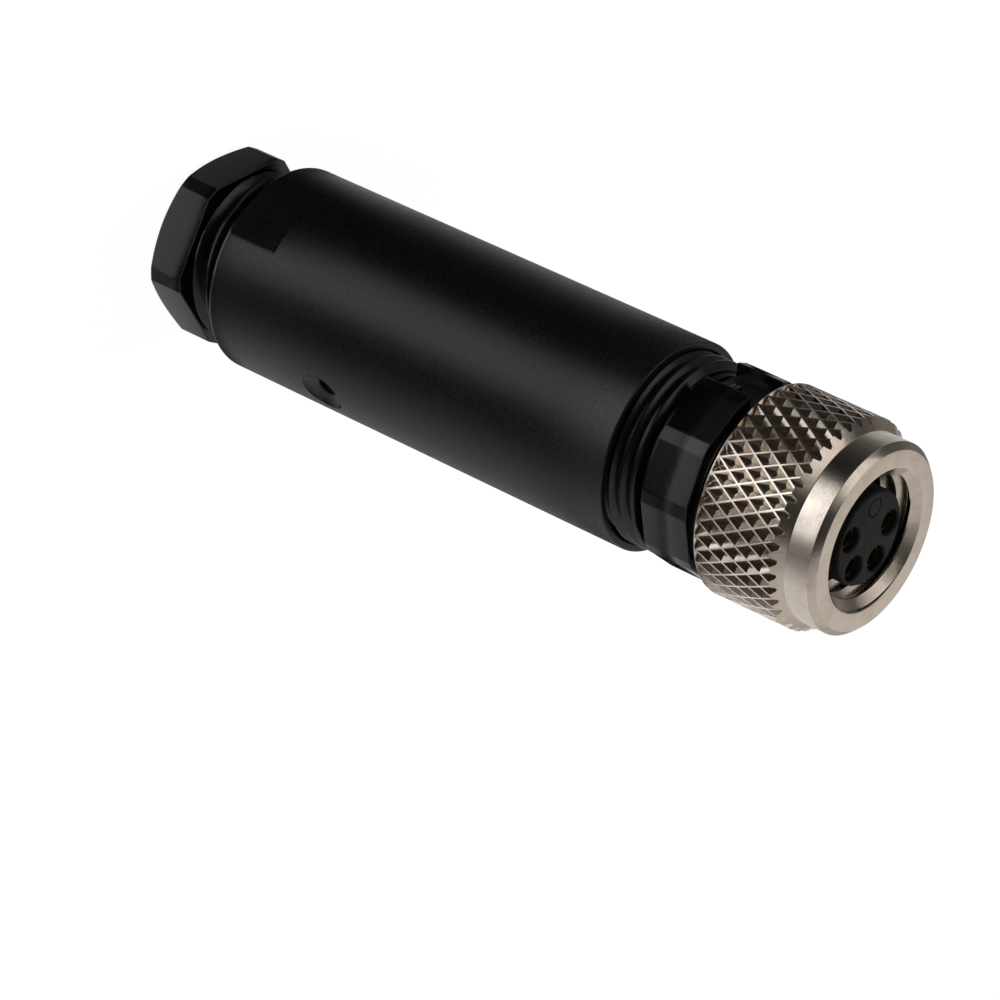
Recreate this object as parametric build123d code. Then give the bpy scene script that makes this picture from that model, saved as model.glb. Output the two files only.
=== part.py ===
from build123d import *
import math
import os

# Straight female sensor connector, four poles, with a knurled M8 x 1 coupling nut.
# Millimetres and degrees. The part stands on its gland nut: Z = 0 is that nut's rear face,
# +Z runs along the axis to the mating face, and the X and Y axes cross on the axis.

# Lengths along the axis, from the cable end to the mating face
head_length = 2.7            # hexagon of the gland nut
gland_gap = 2.4              # thread that shows between hexagon and barrel
barrel_length = 28.35
collar_gap = 2.45            # thread that shows between barrel and collar
collar_length = 3.0          # ten-sided part of the collar
boss_length = 0.6            # round step in front of it
nut_length = 7.3             # coupling nut

# Clearances
run_fit = 0.05               # radial, between pieces that turn or slide on each other
seat_gap = 0.05              # between flat faces that seat on each other
nut_play = 0.1               # axial play of the coupling nut, each side of its lip

# Barrel
barrel_d = 12.0
barrel_round = 0.5           # rounded rear edge
barrel_wall = 1.05           # round the wiring chamber
mouth_wall = 0.45            # round the front thread
gland_wall = 0.95            # round the rear thread
flat_depth = 0.45            # each wrench flat, below the round
flat_length = 3.7
flat_angle = 63.0            # direction of one flat's normal; the other is opposite
gate_angle = -27.0           # direction of the moulding gate's dimple
gate_from_rear = 8.2
gate_d = 2.8
gate_depth = 0.45
gate_pit_d = 1.2
gate_pit_depth = 0.5
rim_chamfer = 0.12

# Gland: hexagonal screw, slotted cage, rubber seal
cable_d = 5.3                # bore for the cable
head_corner_over = 1.1       # hexagon's cut corners, over its width across the flats
head_angle = 7.4             # direction of one corner
head_cone = 30.0             # slope of the cone on the rear face's edge
head_face_margin = 0.25      # flat rear face, inside the width across the flats
gland_shank_length = 5.5
gland_thread_spare = 1.6     # barrel thread beyond the shank's end
cage_cone_depth = 1.3        # conical recess in the shank's end
cage_cone_wall = 1.14        # wall of the shank at the recess's mouth
cage_slope = 0.3             # taper of the fingers, radius per length
cage_base_length = 1.4
cage_bore_over = 0.4         # cage bore over the cable bore
cage_slots = 8
cage_slot_width = 0.45
seal_d = 8.5
seal_length = 3.5
seal_gap = 1.55              # to the cage, taken up as the gland nut is tightened
seal_bore_under = 0.5        # seal bore under the cable bore
seat_wall = 1.0              # ring in the barrel that the seal is pressed against
seat_bore_over = 1.0         # its bore over the cable bore

# Collar
collar_flat_depth = 0.42     # flats, below the barrel's radius
collar_corner_depth = 0.25   # cut corners, below the barrel's radius
collar_sides = 10
collar_angle = 12.4          # direction of one corner
collar_thread_length = 6.0   # with the undercut behind the shoulder
undercut_length = 0.6
undercut_depth = 0.55
spigot_length = 4.0          # smooth end behind the thread
spigot_gap = 0.1             # radial, to the wiring chamber
boss_d = 10.0
slot_facet = 5               # number of the side that is slotted
slot_width = 2.75
slot_depth = 1.0             # below the barrel's radius, with the corner cut added
nub_width = 0.9
nub_length = 0.5
nub_height = 0.4
nub_from_shoulder = 1.2
nub_offset = 0.45            # from the slot's middle, round the axis
ring_section_d = 0.82        # rubber ring in the spigot
ring_from_end = 0.9
groove_width = 1.0

# Contacts
pin_circle_r = 1.77
contact_angles = (-74.5, -5.0, 63.0, 132.5)
closed_angle = 209.0         # place of the closed fifth position
socket_d = 1.04              # takes a pin of 1.0
contact_d = 1.3
socket_depth = 5.0
socket_slot_width = 0.2
socket_slot_length = 3.0
contact_recess = 0.4         # from the nose's face to the contact
clamp_length = 5.0
clamp_wall = 0.45            # of the block, outside each clamp
clamp_gap = 0.6              # between neighbouring clamps
wire_d = 1.3
wire_depth = 4.0
wire_inset = 0.25            # wire hole, nearer to the axis than the clamp
screw_d = 1.6
screw_length = 1.3
screw_sink = 0.1             # outer end of the open screw, below the block's surface
screw_from_rear = 2.7        # from the clamp's rear face
screw_reach = 0.35           # threaded hole, past the middle of the wire hole
screw_socket_af = 0.7
screw_socket_depth = 0.6

# Terminal block
block_gap = 0.35             # radial, to the wiring chamber
block_length = 5.95
block_spigot_wall = 0.93     # round the contact rods
block_spigot_length = 8.0
clamp_sink = 0.3             # clamp's rear face, inside the block
access_d = 1.9               # holes for the hex key

# Insert and coupling nut
mating_thread_d = 8.0
mating_thread_pitch = 1.0
thread_share = 0.5413        # depth of an inside thread, as a share of its pitch
nose_d = 5.4
nose_recess = 0.4            # nose's face, behind the nut's face
nose_length = 4.9
nose_round = 0.15
flange_length = 1.0
flange_gap = 0.1             # radial, so that the flange passes the M8 thread
neck_d = 6.0
contact_hole_over = 0.1      # hole in the insert over the contact
hole_lead = 0.1              # chamfer of each hole in the face
closed_ring_d = 1.15
closed_ring_width = 0.12
closed_ring_depth = 0.08
face_seal_section_d = 0.64
lip_length = 0.9             # inner lip that the flange holds
relief_length = 1.7          # undercut behind the M8 thread
knurl_length = 5.2
knurl_front_chamfer = 0.3
knurl_rear_chamfer = 0.15
knurl_count = 42             # diamonds round the nut
knurl_height = 1.65          # of one diamond, along the axis
knurl_depth = 0.33
knurl_ridge = 0.1            # flat top of the ridges between the pits
knurl_lift = 0.05            # widest section of a pit's pyramid, above the band
knurl_point = 0.97           # taper of that pyramid, as a share of one that ends in a point
knurl_rim = 0.12             # plain rim behind the first pits
knurl_from_rear = 1.05       # middle of the first whole row of pits
knurl_angle = -95.7          # direction of one pit of that row
neck_step = 0.59             # nut's neck, below its knurled band
face_chamfer = 0.35
mouth_d = 8.12               # countersink at the mouth

# Sizes that follow from the ones above
barrel_r = barrel_d / 2
chamber_r = barrel_r - barrel_wall
collar_thread_r = barrel_r - mouth_wall - run_fit
gland_thread_r = barrel_r - gland_wall - run_fit
head_af = 2 * gland_thread_r
cable_r = cable_d / 2
cage_bore_r = cable_r + cage_bore_over / 2
seal_r = seal_d / 2
nut_r = barrel_r
thread_minor_r = mating_thread_d / 2 - thread_share * mating_thread_pitch
flange_r = thread_minor_r - flange_gap
nose_r = nose_d / 2
neck_r = neck_d / 2
contact_r = contact_d / 2
block_r = chamber_r - block_gap
half_spacing = min(b - a for a, b in zip(contact_angles, contact_angles[1:])) / 2
spacing_sine = math.sin(math.radians(half_spacing))
clamp_r = ((block_r - clamp_wall) * spacing_sine - clamp_gap / 2) / (1 + spacing_sine)
clamp_circle_r = block_r - clamp_wall - clamp_r
contact_hole_r = contact_r + contact_hole_over / 2
wire_circle_r = clamp_circle_r - wire_inset
screw_r = screw_d / 2
screw_out = block_r - screw_sink

# Stations along Z
z_barrel = head_length + gland_gap
z_rim = z_barrel + barrel_length
z_collar = z_rim + collar_gap
z_boss = z_collar + collar_length
z_nut = z_boss + boss_length + nut_play
z_face = z_nut + nut_length
z_shank_end = head_length + gland_shank_length
z_seal_bore = z_shank_end + gland_thread_spare
z_cage_front = z_seal_bore + seat_gap + cage_base_length
z_seal = z_cage_front + seal_gap
z_seat = z_seal + seal_length + seat_gap
z_chamber = z_seat + seat_wall
z_mouth_thread = z_rim - collar_thread_length - run_fit
z_thread_end = z_collar - collar_thread_length
z_spigot = z_thread_end - spigot_length
z_block = z_spigot - seat_gap - block_length
z_clamp = z_block + clamp_sink
z_block_front = z_spigot + block_spigot_length
z_lip_front = z_nut + lip_length
z_flange = z_lip_front + nut_play
z_nose_base = z_flange + flange_length
z_nose = z_nose_base + nose_length
z_contact = z_nose - contact_recess


def turned(points):
    """Solid of revolution about Z from (radius, height) points."""
    outline = Polyline(*[(r, 0, z) for r, z in points], close=True)
    return revolve(make_face(outline), Axis.Z)


def tube(outer_r, inner_r, low, high):
    """Plain sleeve between two heights."""
    return turned([(inner_r, low), (outer_r, low), (outer_r, high), (inner_r, high)])


def rod(radius, low, high, x=0.0):
    """Upright cylinder between two heights, beside the axis by x."""
    body = Cylinder(radius, high - low, align=(Align.CENTER, Align.CENTER, Align.MIN))
    return Pos(x, 0, low) * body


def radial_rod(radius, inner, outer, height):
    """Cylinder along +X between two distances from the axis."""
    body = Cylinder(radius, outer - inner, align=(Align.CENTER, Align.CENTER, Align.MIN))
    return Pos(inner, 0, height) * Rot(0, 90, 0) * body


def turn(angle, body):
    """The body turned about Z."""
    return Rot(0, 0, angle) * body


def circles(body, radius, height):
    """Circular edges of a given radius at a given height."""
    near = 1e-3
    edges = body.edges().filter_by(GeomType.CIRCLE)
    return edges.filter_by(
        lambda e: abs(e.radius - radius) < near and abs(e.arc_center.Z - height) < near
    )


def cut_polygon(sides, across, corners, corner_angle, low, high):
    """Prism with flats at across / 2 and its corners cut by flats at corners / 2."""
    flats = RegularPolygon(across / 2, sides, major_radius=False, rotation=corner_angle)
    cuts = RegularPolygon(
        corners / 2, sides, major_radius=False, rotation=corner_angle + 180 / sides
    )
    return Pos(0, 0, low) * extrude(flats & cuts, high - low)


def make_barrel():
    """Moulded sleeve, with its gland bore, seal seat, wiring chamber and mouth thread."""
    gland_r = gland_thread_r + run_fit
    seal_bore_r = seal_r + run_fit
    seat_r = cable_r + seat_bore_over / 2
    mouth_r = collar_thread_r + run_fit
    body = turned([
        (gland_r, z_barrel), (barrel_r, z_barrel), (barrel_r, z_rim), (mouth_r, z_rim),
        (mouth_r, z_mouth_thread), (chamber_r, z_mouth_thread), (chamber_r, z_chamber),
        (seat_r, z_chamber), (seat_r, z_seat), (seal_bore_r, z_seat),
        (seal_bore_r, z_seal_bore), (gland_r, z_seal_bore),
    ])
    body = fillet(circles(body, barrel_r, z_barrel), barrel_round)
    body = chamfer(circles(body, barrel_r, z_rim), rim_chamfer)
    body = chamfer(circles(body, mouth_r, z_rim), rim_chamfer)
    flat_cut = Pos(barrel_r - flat_depth, 0, z_barrel) * Box(
        barrel_r, barrel_d, flat_length, align=(Align.MIN, Align.CENTER, Align.MIN)
    )
    for side in (flat_angle, flat_angle + 180):
        body -= turn(side, flat_cut)
    z_gate = z_barrel + gate_from_rear
    dish_r = (gate_d ** 2 / 4 + gate_depth ** 2) / (2 * gate_depth)
    dish = Pos(barrel_r - gate_depth + dish_r, 0, z_gate) * Sphere(dish_r)
    pit = radial_rod(gate_pit_d / 2, barrel_r - gate_depth - gate_pit_depth, barrel_d, z_gate)
    return body - turn(gate_angle, dish + pit)


def make_gland_nut():
    """Hexagonal pressing screw with a cone in its end for the cage."""
    face_r = head_af / 2 - head_face_margin
    blank_r = barrel_r
    chamfer_rise = (blank_r - face_r) * math.tan(math.radians(head_cone))
    blank = turned([
        (0, 0), (face_r, 0), (blank_r, chamfer_rise), (blank_r, head_length), (0, head_length),
    ])
    corners = head_af + head_corner_over
    head = cut_polygon(6, head_af, corners, head_angle, 0, head_length) & blank
    shank = rod(gland_thread_r, head_length, z_shank_end)
    shank = chamfer(circles(shank, gland_thread_r, z_shank_end), rim_chamfer)
    mouth_r = gland_thread_r - cage_cone_wall
    floor_r = mouth_r - cage_slope * cage_cone_depth
    z_floor = z_shank_end - cage_cone_depth
    bore = turned([
        (0, -1), (cable_r, -1), (cable_r, z_floor), (floor_r, z_floor),
        (mouth_r, z_shank_end), (mouth_r, z_shank_end + 1), (0, z_shank_end + 1),
    ])
    body = head + shank - bore
    return chamfer(circles(body, cable_r, 0), rim_chamfer)


def make_clamp_cage():
    """Ring with slotted fingers that the gland nut's cone closes on the cable."""
    z_base = z_cage_front - cage_base_length
    z_tip = z_shank_end - cage_cone_depth + seat_gap
    mouth_r = gland_thread_r - cage_cone_wall - run_fit
    tip_r = mouth_r - cage_slope * (z_shank_end - z_tip)
    body = turned([
        (cage_bore_r, z_tip), (tip_r, z_tip), (mouth_r, z_shank_end), (mouth_r, z_base),
        (seal_r, z_base), (seal_r, z_cage_front), (cage_bore_r, z_cage_front),
    ])
    slot = Pos(0, 0, z_tip - 1) * Box(
        barrel_r, cage_slot_width, z_base - z_tip + 1, align=(Align.MIN, Align.CENTER, Align.MIN)
    )
    for index in range(cage_slots):
        body -= turn(index * 360 / cage_slots, slot)
    return body


def make_cable_seal():
    """Rubber sleeve with rounded ends."""
    bore_r = cable_r - seal_bore_under / 2
    body = tube(seal_r, bore_r, z_seal, z_seal + seal_length)
    ends = circles(body, seal_r, z_seal) + circles(body, seal_r, z_seal + seal_length)
    return fillet(ends, (seal_r - bore_r) / 4)


def make_threaded_collar():
    """Ten-sided collar with the male thread, the ring groove and one slotted side."""
    undercut_r = collar_thread_r - undercut_depth
    spigot_r = chamber_r - spigot_gap
    ring_inner_r = chamber_r - run_fit / 2 - ring_section_d
    groove_r = ring_inner_r - run_fit / 2
    z_groove = z_spigot + ring_from_end - groove_width / 2
    rear_bore_r = pin_circle_r + contact_r + block_spigot_wall + run_fit
    front_bore_r = neck_r + run_fit
    core = turned([
        (rear_bore_r, z_spigot), (spigot_r, z_spigot), (spigot_r, z_groove),
        (groove_r, z_groove), (groove_r, z_groove + groove_width),
        (spigot_r, z_groove + groove_width), (spigot_r, z_thread_end),
        (collar_thread_r, z_thread_end), (collar_thread_r, z_collar - undercut_length),
        (undercut_r, z_collar - undercut_length), (undercut_r, z_collar),
        (boss_d / 2, z_collar), (boss_d / 2, z_boss + boss_length),
        (front_bore_r, z_boss + boss_length), (front_bore_r, z_block_front + seat_gap),
        (rear_bore_r, z_block_front + seat_gap),
    ])
    core = chamfer(circles(core, collar_thread_r, z_thread_end), rim_chamfer)
    sides = cut_polygon(
        collar_sides, barrel_d - 2 * collar_flat_depth, barrel_d - 2 * collar_corner_depth,
        collar_angle, z_collar, z_boss,
    )
    slot_angle = collar_angle + 180 / collar_sides + slot_facet * 360 / collar_sides
    floor_r = barrel_r - collar_corner_depth - slot_depth
    slot = Pos(floor_r, 0, z_collar) * Box(
        barrel_r, slot_width, collar_length, align=(Align.MIN, Align.CENTER, Align.MIN)
    )
    nub = Pos(floor_r - run_fit, nub_offset, z_collar + nub_from_shoulder) * Box(
        nub_height + run_fit, nub_width, nub_length, align=(Align.MIN, Align.CENTER, Align.CENTER)
    )
    nub = fillet(nub.edges().filter_by(Axis.Y).sort_by(Axis.X)[-2:], nub_length / 4)
    sides -= rod(front_bore_r, z_collar, z_boss)
    return core + sides - turn(slot_angle, slot) + turn(slot_angle, nub)


def make_front_o_ring():
    """Rubber ring in the collar's groove."""
    middle_r = chamber_r - run_fit / 2 - ring_section_d / 2
    return Pos(0, 0, z_spigot + ring_from_end) * Torus(middle_r, ring_section_d / 2)


def make_terminal_block():
    """Rear insulator: four clamp pockets, key holes, and a spigot inside the collar."""
    spigot_r = pin_circle_r + contact_r + block_spigot_wall
    z_shoulder = z_block + block_length
    body = rod(block_r, z_block, z_shoulder) + rod(spigot_r, z_shoulder, z_block_front)
    body = chamfer(circles(body, block_r, z_block), rim_chamfer)
    pocket = rod(clamp_r + run_fit, z_block, z_clamp + clamp_length + seat_gap, clamp_circle_r)
    hole = rod(contact_hole_r, z_clamp, z_block_front, pin_circle_r)
    access = radial_rod(access_d / 2, clamp_circle_r, barrel_r, z_clamp + screw_from_rear)
    for angle in contact_angles:
        body -= turn(angle, pocket + hole + access)
    return body


def make_contact(angle):
    """Turned contact: slotted socket in front, screw clamp for the wire behind."""
    z_step = z_clamp + clamp_length
    body = rod(clamp_r, z_clamp, z_step, clamp_circle_r)
    body += rod(contact_r, z_step - contact_d, z_contact, pin_circle_r)
    body -= rod(socket_d / 2, z_contact - socket_depth, z_contact, pin_circle_r)
    slot = Pos(pin_circle_r, 0, z_contact - socket_slot_length) * Box(
        contact_d * 2, socket_slot_width, socket_slot_length,
        align=(Align.CENTER, Align.CENTER, Align.MIN),
    )
    body -= slot
    body -= rod(wire_d / 2, z_clamp, z_clamp + wire_depth, wire_circle_r)
    hole_end = wire_circle_r - screw_reach
    body -= radial_rod(screw_r + run_fit, hole_end, barrel_r, z_clamp + screw_from_rear)
    return turn(angle, body)


def make_terminal_screw(angle):
    """Set screw with a hexagon socket, drawn back to let the wire in."""
    inner = screw_out - screw_length
    height = z_clamp + screw_from_rear
    body = radial_rod(screw_r, inner, screw_out, height)
    tip = body.edges().filter_by(GeomType.CIRCLE).sort_by(lambda e: e.arc_center.X)[0]
    body = chamfer(tip, screw_r / 4)
    socket = extrude(
        RegularPolygon(screw_socket_af / 2, 6, major_radius=False), screw_socket_depth
    )
    body -= Pos(screw_out - screw_socket_depth, 0, height) * Rot(0, 90, 0) * socket
    return turn(angle, body)


def make_contact_insert():
    """Nose with the contact holes, the flange that holds the nut, and the neck."""
    z_rear = z_block_front + seat_gap
    body = turned([
        (0, z_rear), (neck_r, z_rear), (neck_r, z_flange), (flange_r, z_flange),
        (flange_r, z_nose_base), (nose_r, z_nose_base), (nose_r, z_nose), (0, z_nose),
    ])
    body = fillet(circles(body, nose_r, z_nose), nose_round)
    lead_r = contact_hole_r + hole_lead
    hole = turned([
        (0, z_rear - 1), (contact_hole_r, z_rear - 1), (contact_hole_r, z_nose - hole_lead),
        (lead_r, z_nose), (lead_r, z_nose + 1), (0, z_nose + 1),
    ])
    for angle in contact_angles:
        body -= turn(angle, Pos(pin_circle_r, 0, 0) * hole)
    ring_r = closed_ring_d / 2
    groove = tube(ring_r, ring_r - closed_ring_width, z_nose - closed_ring_depth, z_nose + 1)
    return body - turn(closed_angle, Pos(pin_circle_r, 0, 0) * groove)


def make_face_seal():
    """Rubber ring at the base of the nose."""
    middle_r = nose_r + run_fit / 2 + face_seal_section_d / 2
    height = z_nose_base + seat_gap / 2 + face_seal_section_d / 2
    return Pos(0, 0, height) * Torus(middle_r, face_seal_section_d / 2)


def make_knurl_pits():
    """Pyramids that the knurl leaves open, in staggered rows round the band."""
    width = 2 * math.pi * nut_r / knurl_count
    across = width * knurl_height / math.hypot(width, knurl_height) / 2
    spread = 1 - (knurl_ridge - knurl_lift) / (2 * across)
    half_width = width / 2 * spread
    half_height = knurl_height / 2 * spread
    diamond = make_face(Polyline(
        (0, -half_width), (half_height, 0), (0, half_width), (-half_height, 0), close=True
    ))
    reach = knurl_depth + knurl_lift
    slope = math.degrees(math.atan(across * spread / reach))
    pyramid = extrude(diamond, -reach, taper=knurl_point * slope)
    pyramid = Pos(nut_r + knurl_lift, 0, 0) * Rot(0, 90, 0) * pyramid
    above_rim = Pos(0, 0, z_nut + knurl_rim) * Box(
        4 * nut_r, 4 * nut_r, nut_length, align=(Align.CENTER, Align.CENTER, Align.MIN)
    )
    rows = math.floor((knurl_length - knurl_from_rear) * 2 / knurl_height) + 1
    pits = []
    for row in range(-1, rows):
        height = z_nut + knurl_from_rear + row * knurl_height / 2
        pit = Pos(0, 0, height) * pyramid & above_rim
        shift = knurl_angle + (row % 2) * 180 / knurl_count
        pits += [turn(shift + index * 360 / knurl_count, pit) for index in range(knurl_count)]
    return pits


def make_coupling_nut():
    """Coupling nut: knurled band, neck, countersunk mouth, thread bore and inner lip."""
    lip_r = neck_r + run_fit
    relief_r = mating_thread_d / 2
    z_band = z_nut + knurl_length
    neck_outer_r = nut_r - neck_step
    chamfer_r = nut_r - knurl_front_chamfer
    mouth_r = mouth_d / 2
    blank = turned([
        (lip_r, z_nut), (nut_r - knurl_rear_chamfer, z_nut), (nut_r, z_nut + knurl_rear_chamfer),
        (nut_r, z_band - knurl_front_chamfer), (chamfer_r, z_band),
        (neck_outer_r, z_band + knurl_rear_chamfer), (neck_outer_r, z_face - face_chamfer),
        (neck_outer_r - face_chamfer, z_face), (mouth_r, z_face),
        (thread_minor_r, z_face - (mouth_r - thread_minor_r)),
        (thread_minor_r, z_lip_front + relief_length), (relief_r, z_lip_front + relief_length),
        (relief_r, z_lip_front), (lip_r, z_lip_front),
    ])
    return blank - make_knurl_pits()


def make_all():
    """Every piece by name, in place."""
    pieces = {
        "barrel": make_barrel(),
        "cable_seal": make_cable_seal(),
        "clamp_cage": make_clamp_cage(),
        "gland_nut": make_gland_nut(),
        "front_o_ring": make_front_o_ring(),
        "threaded_collar": make_threaded_collar(),
        "contact_insert": make_contact_insert(),
        "terminal_block": make_terminal_block(),
        "face_seal": make_face_seal(),
        "coupling_nut": make_coupling_nut(),
    }
    for number, angle in enumerate(contact_angles, start=1):
        pieces[f"contact_{number}"] = make_contact(angle)
        pieces[f"terminal_screw_{number}"] = make_terminal_screw(angle)
    return pieces


os.makedirs("parts", exist_ok=True)
for name, body in make_all().items():
    export_step(body, f"parts/{name}.step")
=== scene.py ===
# %% [markdown]
# This lesson dresses a straight four-pole sensor connector: a long black moulded barrel, a
# hexagonal gland screw at the cable end, a ten-sided collar, and a knurled nut plated with nickel
# round a black insert with socket holes. The part arrives as plain solids in metres. Every piece
# below is placed from the boxes of those solids, so nothing is fitted by eye.

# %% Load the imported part
import math

import bmesh
import bpy
from mathutils import Matrix, Vector


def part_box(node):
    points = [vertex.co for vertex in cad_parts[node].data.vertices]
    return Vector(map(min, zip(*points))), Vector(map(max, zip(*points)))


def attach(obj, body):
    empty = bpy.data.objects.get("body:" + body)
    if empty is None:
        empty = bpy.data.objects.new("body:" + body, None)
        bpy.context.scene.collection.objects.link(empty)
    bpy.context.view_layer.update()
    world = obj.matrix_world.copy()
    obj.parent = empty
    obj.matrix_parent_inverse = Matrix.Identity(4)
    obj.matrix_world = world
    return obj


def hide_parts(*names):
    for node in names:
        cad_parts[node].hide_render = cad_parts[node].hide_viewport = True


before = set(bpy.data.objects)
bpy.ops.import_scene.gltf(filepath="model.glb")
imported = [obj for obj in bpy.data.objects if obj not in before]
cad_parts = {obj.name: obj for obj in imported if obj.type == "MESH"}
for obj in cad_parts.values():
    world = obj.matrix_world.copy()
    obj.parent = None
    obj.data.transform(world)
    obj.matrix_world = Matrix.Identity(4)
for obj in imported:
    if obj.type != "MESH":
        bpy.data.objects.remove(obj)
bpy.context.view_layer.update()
MM = 0.001

# %% [markdown]
# The camera comes first, because it decides how large every bevel and grain has to be. A long
# lens from far away keeps the barrel's sides almost parallel. The camera looks down at the nut's
# mouth and is rolled, so that the standing connector runs across the frame from corner to corner.
# The three axes are made exactly square to each other before they become a rotation matrix.

# %% Camera
camera_data = bpy.data.cameras.new("Product camera")
camera_data.sensor_width = 36.0
camera_data.lens = 167.6
camera_data.clip_start = 0.01
camera = bpy.data.objects.new("Product camera", camera_data)
bpy.context.scene.collection.objects.link(camera)
back = Vector((-0.0261, -0.8449, 0.5343)).normalized()
right = Vector((-0.418, 0.4947, 0.762))
right = (right - right.dot(back) * back).normalized()
up = back.cross(right)
camera.matrix_world = Matrix.Translation((-0.0001, -0.21279, 0.15959)) @ Matrix(
    (right, up, back)
).transposed().to_4x4()
bpy.context.scene.camera = camera
print("camera height:", round(camera.location.z, 4), "m")

# %% [markdown]
# A catalogue picture stands on pure white. The floor and the world show white to the camera and
# to reflections through Light Path, while the light that falls on the part stays at a plain
# level. Two helpers come first. One adds a node and fills its sockets by name, and the other
# picks out the rays that get to see the white.

# %% Node helpers
def node(tree, kind, **settings):
    """Adds a node; a setting named after a socket fills it, any other is an attribute."""
    made = tree.nodes.new(kind)
    for name, value in settings.items():
        label = name.replace("_", " ")
        if label in made.inputs:
            made.inputs[label].default_value = value
        else:
            setattr(made, name, value)
    return made


def seen_directly(tree):
    """1 for rays from the camera, and for reflected and refracted ones."""
    path = node(tree, "ShaderNodeLightPath")
    either = node(tree, "ShaderNodeMath", operation="MAXIMUM")
    any_ray = node(tree, "ShaderNodeMath", operation="MAXIMUM")
    tree.links.new(path.outputs["Is Camera Ray"], either.inputs[0])
    tree.links.new(path.outputs["Is Glossy Ray"], either.inputs[1])
    tree.links.new(either.outputs[0], any_ray.inputs[0])
    tree.links.new(path.outputs["Is Transmission Ray"], any_ray.inputs[1])
    return any_ray.outputs[0]


print("helpers: node, seen_directly")

# %% [markdown]
# The floor's white is a glow just short of full, and a faint diffuse layer adds the rest, so the
# floor keeps a soft shadow of the part. Every other ray meets a plain pale floor, which throws
# some light back up. From below the floor is open, so a low view can look up at the part.

# %% White floor
def white_floor():
    """Floor that shows white, keeps a faint shadow, and is open from below."""
    material = bpy.data.materials.new("Floor white")
    material.use_nodes = True
    tree = material.node_tree
    tree.nodes.clear()
    lit = node(tree, "ShaderNodeBsdfDiffuse", Color=(0.8, 0.8, 0.8, 1))
    faint = node(tree, "ShaderNodeBsdfDiffuse", Color=(0.14, 0.14, 0.14, 1))
    glow = node(tree, "ShaderNodeEmission", Color=(0.94, 0.94, 0.94, 1), Strength=1.0)
    shown = node(tree, "ShaderNodeAddShader")
    split = node(tree, "ShaderNodeMixShader")
    clear = node(tree, "ShaderNodeBsdfTransparent")
    geometry = node(tree, "ShaderNodeNewGeometry")
    open_below = node(tree, "ShaderNodeMixShader")
    output = node(tree, "ShaderNodeOutputMaterial")
    tree.links.new(glow.outputs[0], shown.inputs[0])
    tree.links.new(faint.outputs[0], shown.inputs[1])
    tree.links.new(seen_directly(tree), split.inputs[0])
    tree.links.new(lit.outputs[0], split.inputs[1])
    tree.links.new(shown.outputs[0], split.inputs[2])
    tree.links.new(geometry.outputs["Backfacing"], open_below.inputs[0])
    tree.links.new(split.outputs[0], open_below.inputs[1])
    tree.links.new(clear.outputs[0], open_below.inputs[2])
    tree.links.new(open_below.outputs[0], output.inputs["Surface"])
    return material


def card(name, centre, facing, width, height):
    """Flat rectangle, in metres, whose front looks along facing."""
    mesh = bpy.data.meshes.new(name)
    w, h = width / 2, height / 2
    mesh.from_pydata([(-w, -h, 0), (w, -h, 0), (w, h, 0), (-w, h, 0)], [], [(0, 1, 2, 3)])
    made = bpy.data.objects.new(name, mesh)
    bpy.context.scene.collection.objects.link(made)
    made.rotation_euler = Vector(facing).to_track_quat("Z", "Y").to_euler()
    made.location = centre
    return made


floor = card("Floor", (0, 0, 0), (0, 0, 1), 6.0, 6.0)
floor.data.materials.append(white_floor())
print("floor material:", floor.data.materials[0].name)

# %% [markdown]
# The world works the same way with two backgrounds. White is what shows behind the part, and a
# weaker fill lights it from all sides, as the walls of a pale room do.

# %% White world
world = bpy.data.worlds.new("Studio white")
bpy.context.scene.world = world
world.use_nodes = True
sky = world.node_tree
sky.nodes.clear()
shown_white = node(sky, "ShaderNodeBackground", Color=(1, 1, 1, 1), Strength=1.0)
fill_light = node(sky, "ShaderNodeBackground", Strength=0.35)
sky_mix = node(sky, "ShaderNodeMixShader")
sky_out = node(sky, "ShaderNodeOutputWorld")
sky.links.new(seen_directly(sky), sky_mix.inputs[0])
sky.links.new(fill_light.outputs[0], sky_mix.inputs[1])
sky.links.new(shown_white.outputs[0], sky_mix.inputs[2])
sky.links.new(sky_mix.outputs[0], sky_out.inputs["Surface"])
print("world:", world.name)

# %% [markdown]
# Black plastic and bright metal are drawn by what they mirror. A photographer puts such a part
# into a tent of dark, grey and white cards, so that its cylinders get a dark stripe beside a soft
# bright one, and every pit of a knurl gets a dark side and a pale side. The tent here has rings
# on the floor, belts of a dome, and one close belt beside the knurl. Their glow is read from the
# azimuth round the part: a radial gradient gives the azimuth, and a colour ramp the tone for it.

# %% Glow by azimuth
def toned(name, tones, tint, base=(0, 0, 0)):
    """Glow whose tone follows the azimuth; tones maps degrees from -180 to 180 to a tone."""
    material = bpy.data.materials.new(name)
    material.use_nodes = True
    tree = material.node_tree
    tree.nodes.clear()
    place = node(tree, "ShaderNodeTexCoord")
    azimuth = node(tree, "ShaderNodeTexGradient", gradient_type="RADIAL")
    ramp_node = node(tree, "ShaderNodeValToRGB")
    glow = node(tree, "ShaderNodeEmission", Strength=1.0)
    output = node(tree, "ShaderNodeOutputMaterial")
    stops = ramp_node.color_ramp.elements
    while len(stops) < len(tones):
        stops.new(0.5)
    for stop, (degrees, tone) in zip(stops, sorted(tones.items())):
        stop.position = degrees / 360 + 0.5
        stop.color = (*(tone * t + b for t, b in zip(tint, base)), 1)
    tree.links.new(place.outputs["Object"], azimuth.inputs[0])
    tree.links.new(azimuth.outputs["Fac"], ramp_node.inputs[0])
    tree.links.new(ramp_node.outputs[0], glow.inputs["Color"])
    tree.links.new(glow.outputs[0], output.inputs["Surface"])
    return material


print("helper: toned")

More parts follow.
